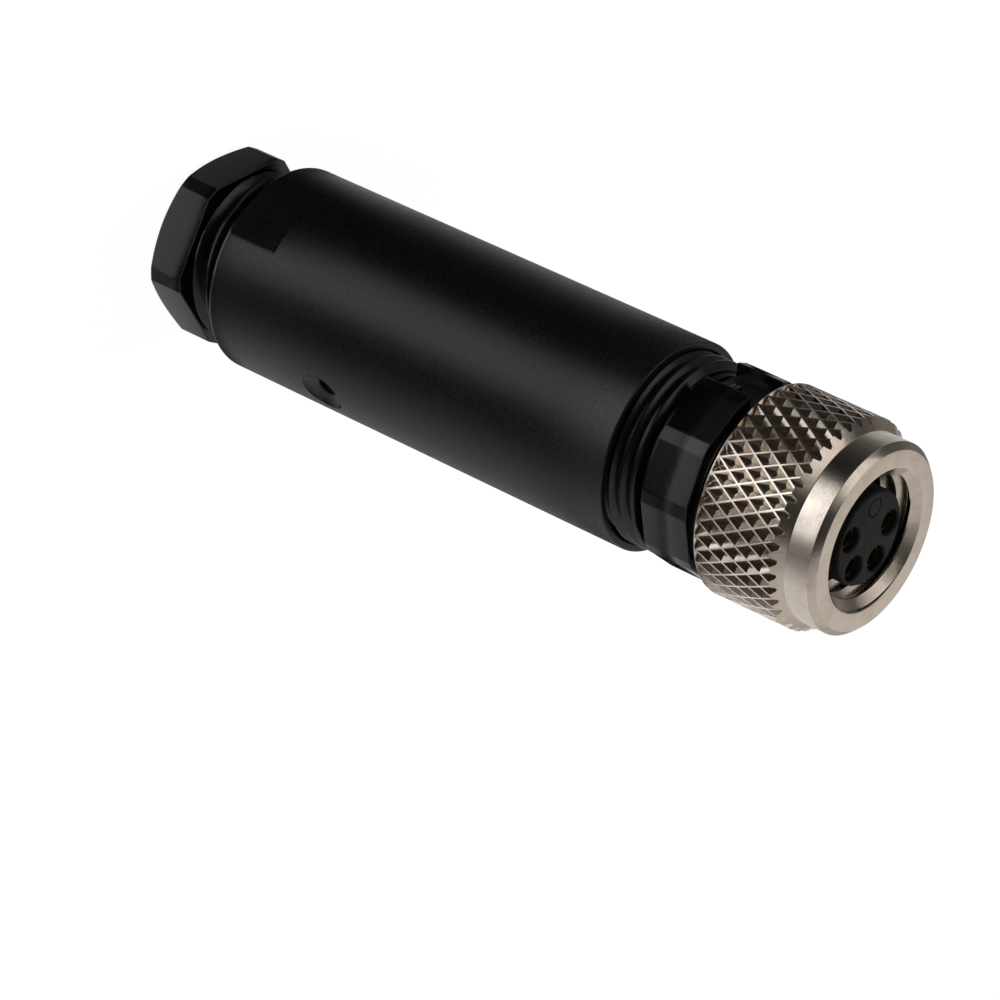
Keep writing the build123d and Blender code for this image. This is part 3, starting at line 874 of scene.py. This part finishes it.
# %% Barrel
z_rear, z_rim = heights("barrel")
BARREL_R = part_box("barrel")[1].x / MM
FLAT_REACH = BARREL_R - 0.45
FLAT_END = z_rear + 3.7
FLAT_ANGLES = (math.radians(62.5), math.radians(242.5))
GLAND_BORE_R = 5.05
COLLAR_BORE_R = 5.55
COLLAR_BORE_DEPTH = 6.0
CHAMBER_R = 4.95
CHAMBER_FLOOR = 17.35
PASSAGE_R = 3.15
SEAL_BORE_R = 4.3
SEAL_BORE = (9.8, 16.35)
SIDE_LOOPS = (10.2, 11.5, 12.2, 12.9, 13.6, 14.3, 15.0, 16.5, 20.0, 24.0, 28.0)
DISH_ANGLE = math.radians(-27)
DISH_Z = 13.3
flat_half = math.acos(FLAT_REACH / BARREL_R)


def with_flats(r, z):
    """Row of the barrel whose radius stops at the wrench flats."""
    def row(angle):
        reach = r
        for facing in FLAT_ANGLES:
            lean = math.cos(angle - facing)
            if lean > 0:
                reach = min(reach, FLAT_REACH / lean)
        return reach, z
    return row


def dish_tool(angle, z):
    """Cutter for the gate mark, turned about a line that points outward."""
    rows = [(0, 5.1), (0.5, 5.1), (0.55, 5.2), (0.56, 5.5), (0.62, 5.56), (0.9, 5.64),
            (1.15, 5.76), (1.32, 5.9), (1.42, 6.1), (1.45, 6.6), (0, 6.6)]
    tool = spin("Dish tool", rows, full_turn(64))
    tool.data.transform(Matrix.Rotation(math.pi / 2, 4, "Y"))
    tool.data.transform(Matrix.Rotation(angle, 4, "Z"))
    tool.data.transform(Matrix.Translation((0, 0, z * MM)))
    return tool


rear_rows = rounded([
    (GLAND_BORE_R, z_rear + 0.7, 0), (GLAND_BORE_R, z_rear, 0.1),
    (BARREL_R, z_rear, 0.5), (BARREL_R, z_rear + 2, 0),
], 8)
front_rows = rounded([
    (BARREL_R, z_rim - 1, 0), (BARREL_R, z_rim, 0.1),
    (COLLAR_BORE_R, z_rim, 0.08), (COLLAR_BORE_R, z_rim - COLLAR_BORE_DEPTH, 0),
], 4)
side_rows = [(BARREL_R, z) for z in (FLAT_END + 0.03, *SIDE_LOOPS)]
inner_rows = [
    (CHAMBER_R, z_rim - COLLAR_BORE_DEPTH - 0.05), (CHAMBER_R, CHAMBER_FLOOR),
    (PASSAGE_R, CHAMBER_FLOOR), (PASSAGE_R, SEAL_BORE[1]),
    (SEAL_BORE_R, SEAL_BORE[1]), (SEAL_BORE_R, SEAL_BORE[0]), (GLAND_BORE_R, SEAL_BORE[0]),
]
rows = [with_flats(r, z) for r, z in rear_rows[1:]] + [with_flats(BARREL_R, FLAT_END)]
rows += side_rows + front_rows[1:] + inner_rows
flat_edges = [f + s * flat_half for f in FLAT_ANGLES for s in (-1, 1)]
barrel_shell = spin("barrel_shell", rows, full_turn(288, flat_edges))
cut(barrel_shell, dish_tool(DISH_ANGLE, DISH_Z))
finish_piece(barrel_shell, HOUSING, "barrel_body", "barrel", crisp=25)

# %% [markdown]
# The gland screw closes the cable end. Its hexagon has blunt corners and a conical rear face, so
# the cone meets each flat in a shallow curve. That curve comes by itself when the height of a row
# depends on the hexagon's radius. The thread rises out of an undercut behind the head, and the
# far end has the cone that presses the cage.

# %% Gland screw
z_gland_low, z_gland_high = heights("gland_nut")
HEAD_LENGTH = 2.7
CONE_FROM = 4.75
CONE_RISE = math.tan(math.radians(30))
CABLE_R = 2.65
INNER_CONE_Z = 6.9
UNDERCUT_R = 4.46
hexagon, hexagon_edges = polygon_radius(
    sides=6, flat=5.0, blunt=5.55, corner_angle=math.radians(7.4),
)


def head_row(inset, above):
    """Row of the hexagon, inset from its side and above the cone's edge."""
    def row(angle):
        r = hexagon(angle)
        return r - inset, (r - CONE_FROM) * CONE_RISE + above
    return row


def head_top_row(inset, z):
    """Row of the hexagon near its front face."""
    return lambda angle: (hexagon(angle) - inset, z)


rows = [(CABLE_R, INNER_CONE_Z), (CABLE_R, 0.14), (CABLE_R + 0.04, 0.04), (CABLE_R + 0.14, 0)]
rows += [(4.6, 0.0), (4.72, 0.008)]
rows += [head_row(0.1, -0.055), head_row(0.035, -0.008), head_row(0.008, 0.02), head_row(0, 0.07)]
rows += [head_top_row(0, HEAD_LENGTH - 0.09), head_top_row(0.012, HEAD_LENGTH - 0.03)]
rows += [head_top_row(0.06, HEAD_LENGTH)]
rows += [(UNDERCUT_R, HEAD_LENGTH), (UNDERCUT_R, HEAD_LENGTH + 0.08)]
rows += thread_rows(
    crest=5.0, depth=0.54, pitch=1.0, low=HEAD_LENGTH + 0.1, high=z_gland_high - 0.12,
    crest_at=2.35, fade=0.25,
)
rows += [(4.6, z_gland_high), (3.86, z_gland_high), (3.47, INNER_CONE_Z)]
gland_screw = spin("gland_screw", rows, full_turn(720, hexagon_edges))
finish_piece(gland_screw, COLLAR, "gland_nut_body", "gland_nut", crisp=15)

# %% [markdown]
# The collar screws into the barrel's mouth. Ten narrow flats give the fingers a hold, with a
# blunt strip at every corner. One side is open: a shallow recess with a small nub in it, which
# tells the hand where the key position of the contacts lies. A thread of 0.75 mm pitch shows
# below the ten-sided part, and fades in above the seal's groove.

# %% Collar
z_spigot, z_boss_end = heights("threaded_collar")
COLLAR_REAR = z_spigot + 10.0
COLLAR_FRONT = COLLAR_REAR + 3.0
SLOT_ANGLE = math.radians(-149.6)
SLOT_FLOOR = 4.75
SPIGOT_R = 4.85
SEAL_GROOVE_R = 4.08
SEAL_GROOVE = (z_spigot + 0.4, z_spigot + 1.4)
SHOULDER_R = 4.95
BOSS_R = 5.0
BLOCK_BORE_R = 3.4
NECK_BORE_R = 3.05
LIP_Z = 33.95
decagon, decagon_edges = polygon_radius(
    sides=10, flat=5.58, blunt=5.75, corner_angle=math.radians(12.4),
)


def side_row(inset, z):
    """Row of the ten-sided part, inset from its side."""
    return lambda angle: (decagon(angle) - inset, z)


rows = [(BLOCK_BORE_R, z_spigot), (SPIGOT_R - 0.1, z_spigot), (SPIGOT_R, z_spigot + 0.1)]
rows += [(SPIGOT_R, SEAL_GROOVE[0]), (SEAL_GROOVE_R, SEAL_GROOVE[0])]
rows += [(SEAL_GROOVE_R, SEAL_GROOVE[1]), (SPIGOT_R, SEAL_GROOVE[1]), (SPIGOT_R, z_spigot + 4.0)]
rows += thread_rows(
    crest=5.5, depth=0.41, pitch=0.75, low=z_spigot + 4.1, high=COLLAR_REAR - 0.6,
    crest_at=32.98, fade=0.4,
)
rows += [(SHOULDER_R, COLLAR_REAR - 0.55), (SHOULDER_R, COLLAR_REAR)]
rows += [side_row(0.08, COLLAR_REAR), side_row(0.02, COLLAR_REAR + 0.02)]
rows += [side_row(0, COLLAR_REAR + 0.08), side_row(0, COLLAR_REAR + 1.5)]
rows += [side_row(0, COLLAR_FRONT - 0.1), side_row(0.03, COLLAR_FRONT - 0.03)]
rows += [side_row(0.1, COLLAR_FRONT), (BOSS_R + 0.05, COLLAR_FRONT)]
rows += [(BOSS_R, COLLAR_FRONT + 0.05), (BOSS_R, z_boss_end - 0.05), (BOSS_R - 0.05, z_boss_end)]
rows += [(NECK_BORE_R, z_boss_end), (NECK_BORE_R, LIP_Z), (BLOCK_BORE_R, LIP_Z)]
collar_body = spin("collar_body", rows, full_turn(720, decagon_edges))
slot_middle = (COLLAR_REAR + COLLAR_FRONT) / 2
cut(collar_body, block(
    "Slot", (3.0, 2.75, 3.2), (SLOT_FLOOR + 1.5, 0, slot_middle), SLOT_ANGLE, 0.04,
))
cut(collar_body, block(
    "Nub", (0.8, 0.9, 0.5), (SLOT_FLOOR, 0.45, COLLAR_REAR + 1.2), SLOT_ANGLE, 0.1,
), "UNION")
finish_piece(collar_body, COLLAR, "insert_body", "threaded_collar", crisp=24)

# %% [markdown]
# The coupling nut carries a diamond knurl: two families of grooves cross, and leave rows of
# four-sided pits between thin raised ridges. The knurling wheels press these pits into the turned
# band, so the mesh is made in the same way, with one tool that has a small double pyramid for
# every pit. The last pits run out over the cone at the band's end, and so they have rounded ends.

# %% Knurling tool
z_nut, z_face = heights("coupling_nut")
NUT_R = 6.0
KNURLS = 42
KNURL_HEIGHT = 1.65
PIT_DEPTH = 0.37
END_PIT_DEPTH = 0.36
END_REACH = 0.4
PIT_SHARE = 0.95
PIT_TOP = 0.03
KNURL_ANGLE = math.radians(-95.7)
KNURL_Z = z_nut + 1.05
LAST_LEVEL = 5
RIM = 0.12


def pit_tool():
    """One mesh of double pyramids, a row of them for each half diamond of height."""
    form = bmesh.new()
    half_turn = math.pi / KNURLS * PIT_SHARE
    half_rise = KNURL_HEIGHT / 2 * PIT_SHARE
    base_r = NUT_R + PIT_TOP
    for level in range(-1, LAST_LEVEL + 1):
        z = KNURL_Z + level * KNURL_HEIGHT / 2
        last = level == LAST_LEVEL
        depth = END_PIT_DEPTH if last else PIT_DEPTH
        for k in range(KNURLS):
            middle = KNURL_ANGLE + math.tau * (k + 0.5 * (level % 2)) / KNURLS
            corners = [(-half_turn, 0), (0, -half_rise), (half_turn, 0)]
            if last:
                arc = [math.radians(turn) for turn in (30, 60, 90, 120, 150)]
                corners += [(half_turn * math.cos(t), END_REACH * math.sin(t)) for t in arc]
            else:
                corners.append((0, half_rise))
            spots = [(base_r, middle + a, z + h) for a, h in corners]
            spots += [(NUT_R - depth, middle, z), (NUT_R + 0.4, middle, z)]
            points = [
                form.verts.new((r * math.cos(a) * MM, r * math.sin(a) * MM, h * MM))
                for r, a, h in spots
            ]
            for i in range(len(corners)):
                after = (i + 1) % len(corners)
                form.faces.new((points[i], points[after], points[-1]))
                form.faces.new((points[after], points[i], points[-2]))
    bmesh.ops.recalc_face_normals(form, faces=form.faces)
    tool = as_object("Pit tool", form)
    rim = [(0, z_nut - 1), (NUT_R + 1, z_nut - 1), (NUT_R + 1, z_nut + RIM), (0, z_nut + RIM)]
    cut(tool, spin("Rim guard", rim, full_turn(64)))
    return tool


print("pits round the nut:", KNURLS)

# %% [markdown]
# The nut itself is a turned blank: the band, a cone down to the neck, a chamfer and the flat face.
# The M8 thread lies in its bore, where the rule for a thread works with a negative depth, and the
# countersink at the mouth cuts its first turn away. The knurling tool is taken off at the end.

# %% Coupling nut
NECK_R = 5.41
FACE_R = 5.06
BAND_END = z_face - 2.35
MINOR_R = 3.46
MOUTH_R = 4.06
COUNTERSINK = 0.44
RELIEF_R = 4.0
RELIEF = (40.5, 42.2)


def mouth_radius(z):
    """Radius of the countersink at a height."""
    return MOUTH_R - (z_face - z) * (MOUTH_R - MINOR_R) / COUNTERSINK


outer_rows = rounded([
    (NECK_BORE_R, z_nut, 0), (NUT_R, z_nut, 0.12), (NUT_R, BAND_END, 0.03),
    (NECK_R, BAND_END + 0.55, 0.08),
    (NECK_R, z_face - 0.35, 0.04), (FACE_R, z_face, 0.04), (MOUTH_R, z_face, 0.03),
    (MINOR_R, z_face - COUNTERSINK, 0),
], 3)[:-1]
bore_rows = thread_rows(
    crest=MINOR_R, depth=-0.54, pitch=1.0, low=RELIEF[1], high=z_face - 0.03, crest_at=44.2,
    least=mouth_radius,
)
rows = outer_rows + bore_rows[::-1]
rows += [(RELIEF_R, RELIEF[1]), (RELIEF_R, RELIEF[0]), (NECK_BORE_R, RELIEF[0])]
knurled_nut = spin("knurled_nut", rows, full_turn(252))
cut(knurled_nut, pit_tool())
finish_piece(knurled_nut, NICKEL, "coupling_nut_body", "coupling_nut", crisp=20)

# %% [markdown]
# The insert fills the nut with a smooth nose. Four holes in its face lead to the contacts, and a
# fifth place is closed: only a fine round line marks it. The middle of the face stays bare. The
# holes are drilled with turned tools that widen at the face, which gives each one a thin rim.

# %% Socket insert
z_insert, z_nose = heights("contact_insert")
NOSE_R = 2.7
SHAFT_R = 3.0
FLANGE_R = 3.36
FLANGE = (40.6, 41.6)
HOLE_CIRCLE = 1.77
HOLE_R = 0.7
HOLE_ANGLES = tuple(math.radians(a) for a in (-74.5, -5.0, 63.0, 132.5))
CLOSED_ANGLE = math.radians(209)


def beside_axis(tool, angle, distance):
    """Moves a turned tool out from the axis."""
    tool.data.transform(Matrix.Translation(
        (distance * math.cos(angle) * MM, distance * math.sin(angle) * MM, 0)
    ))
    return tool


rows = rounded([
    (0, z_insert, 0), (SHAFT_R, z_insert, 0.05), (SHAFT_R, FLANGE[0], 0),
    (FLANGE_R, FLANGE[0], 0.05), (FLANGE_R, FLANGE[1], 0.05), (NOSE_R, FLANGE[1], 0),
    (NOSE_R, z_nose, 0.15), (0, z_nose, 0),
], 5)
socket_insert = spin("socket_insert", rows, full_turn(160))
for angle in HOLE_ANGLES:
    rows = rounded([
        (0, z_insert - 1, 0), (HOLE_R, z_insert - 1, 0), (HOLE_R, z_nose - 0.09, 0.08),
        (HOLE_R + 0.09, z_nose, 0), (HOLE_R + 0.4, z_nose + 0.3, 0), (0, z_nose + 0.3, 0),
    ])
    cut(socket_insert, beside_axis(spin("Drill", rows, full_turn(64)), angle, HOLE_CIRCLE))
rows = [(0.48, z_nose - 0.06), (0.56, z_nose - 0.06), (0.58, z_nose + 0.2), (0.46, z_nose + 0.2)]
cut(socket_insert, beside_axis(spin("Ring tool", rows, full_turn(64)), CLOSED_ANGLE, HOLE_CIRCLE))
finish_piece(socket_insert, INSERT, "insert_body", "contact_insert", crisp=28)

# %% [markdown]
# The inner pieces keep their solids, because their shapes are already right: the seals, the cage,
# the terminal block, the contacts and the set screws. They only need a finish of their own. The
# solids that a piece above stands for are hidden, and get the same finish as that piece.

# %% Finishes for the solids
FINISHES = {
    "cable_seal": RUBBER, "front_o_ring": RUBBER, "face_seal": RUBBER,
    "clamp_cage": CAGE, "terminal_block": INSERT,
    "barrel": HOUSING, "gland_nut": COLLAR, "threaded_collar": COLLAR,
    "contact_insert": INSERT, "coupling_nut": NICKEL,
}
for number in range(1, 5):
    FINISHES[f"contact_{number}"] = SHADED_GILT
    FINISHES[f"terminal_screw_{number}"] = ZINC
for node_name, material in FINISHES.items():
    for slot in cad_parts[node_name].material_slots:
        slot.material = material
print(len(FINISHES), "solids have a finish")

# %% [markdown]
# The colours above are plain measured tones, so the view transform stays Standard, which shows
# them as written.

# %% View transform
bpy.context.scene.view_settings.view_transform = "Standard"
bpy.context.view_layer.update()
